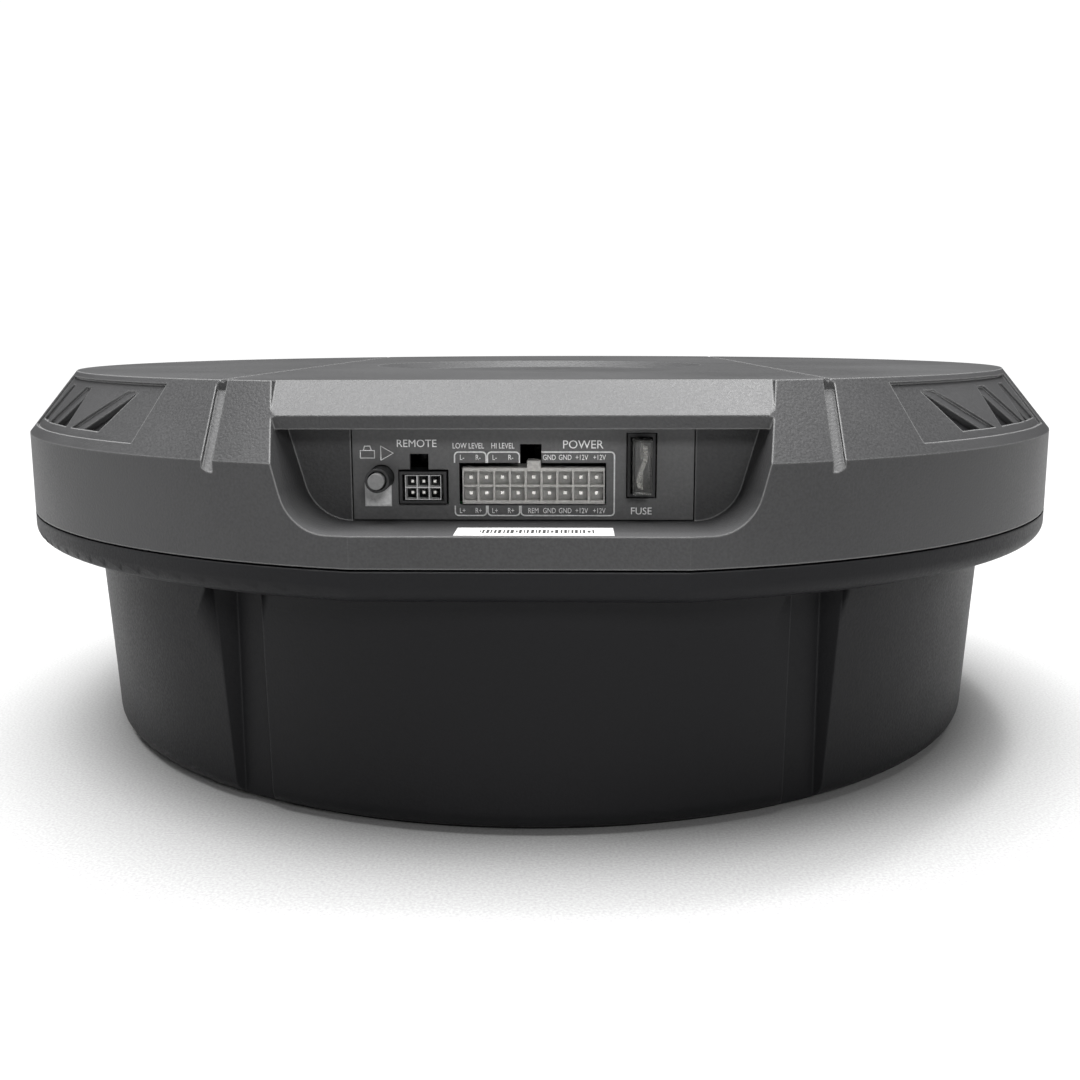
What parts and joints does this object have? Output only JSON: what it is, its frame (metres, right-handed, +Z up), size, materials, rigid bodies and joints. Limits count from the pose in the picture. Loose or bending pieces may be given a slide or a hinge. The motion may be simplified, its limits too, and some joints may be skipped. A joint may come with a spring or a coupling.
{
  "type": "powered car subwoofer, spare-wheel type",
  "caption": "Round shallow spare-wheel car subwoofer with a bevelled cover, dark bowl, front connector recess and a down-firing ring woofer.",
  "frame": {"origin": "on the axis of the hold-down bore, at the plane of the underside", "axes": "+Z up along the bore axis; -Y towards the connector recess; +X to the right seen from the recess"},
  "size_m": [0.368, 0.363, 0.125],
  "materials": {
    "casing_plastic": "fine moulded grain",
    "bowl_plastic": "fine moulded grain",
    "black_plastic": "smooth moulded",
    "panel_plastic": "fine grain",
    "nylon_light": "smooth nylon",
    "grey_plastic": "smooth",
    "foam_rubber": "soft foam",
    "soft_rubber": "soft moulded",
    "zinc_steel": "zinc plated",
    "black_steel": "black powder coat",
    "steel_plate": "turned and plated",
    "ferrite": "sintered ferrite",
    "copper_winding": "enamelled wire",
    "former_film": "amber film",
    "paper_pulp": "pressed pulp",
    "spider_cloth": "resin-dipped cloth",
    "tin_pin": "tin plated",
    "fuse_clear": "clear tinted",
    "aluminium": "brushed",
    "board_green": "solder mask",
    "black_epoxy": "moulded epoxy",
    "can_sleeve": "shrink sleeve",
    "print_white": "printed ink",
    "paper_white": "coated paper",
    "red_jacket": "smooth PVC",
    "black_jacket": "smooth PVC"
  },
  "bodies": {
    "housing": {"top_cover": "casing_plastic", "bowl": "bowl_plastic", "vent_inserts": "black_plastic", "rim_gasket": "foam_rubber", "base_ring": "soft_rubber", "hold_down_tube": "black_plastic", "flange_screws": "zinc_steel", "guard_screws": "zinc_steel", "woofer_basket": "black_steel", "driver_screws": "zinc_steel", "woofer_gasket": "foam_rubber", "front_plate": "steel_plate", "ring_magnet": "ferrite", "yoke_and_pole": "steel_plate", "spider": "spider_cloth", "surround": "soft_rubber", "woofer_guard": "black_steel", "connector_panel": "panel_plastic", "power_header_housing": "nylon_light", "power_header_pins": "tin_pin", "remote_header_housing": "black_plastic", "remote_header_pins": "tin_pin", "button_collar": "black_plastic", "fuse_holder": "black_plastic", "amp_bracket": "aluminium", "bracket_screws": "zinc_steel", "board_standoffs": "zinc_steel", "amp_board": "board_green", "board_screws": "zinc_steel", "power_transistors": "black_epoxy", "reservoir_capacitors": "can_sleeve", "small_capacitors": "can_sleeve", "transformer_core": "ferrite", "speaker_output_block": "grey_plastic", "speaker_terminals": "grey_plastic", "speaker_lead_red": "red_jacket", "speaker_lead_black": "black_jacket"},
    "woofer_cone": {"voice_coil": "copper_winding", "voice_coil_former": "former_film", "cone": "paper_pulp", "ring_dust_cap": "paper_pulp"},
    "push_button": {"button_cap": "grey_plastic"},
    "blade_fuse": {"fuse_body": "fuse_clear", "fuse_blades": "tin_pin"}
  },
  "joints": [
    {"name": "cone_excursion", "type": "slide", "parent": "housing", "child": "woofer_cone", "axis": [0, 0, 1], "range_m": [-0.008, 0.008], "stiffness_N_per_m": 5800, "deforming": ["surround", "spider"]},
    {"name": "button_press", "type": "slide", "parent": "housing", "child": "push_button", "axis": [0, 1, 0], "range_m": [0, 0.0015], "stiffness_N_per_m": 400},
    {"name": "fuse_pull", "type": "slide", "parent": "housing", "child": "blade_fuse", "axis": [0, -1, 0], "range_m": [0, 0.018]}
  ]
}
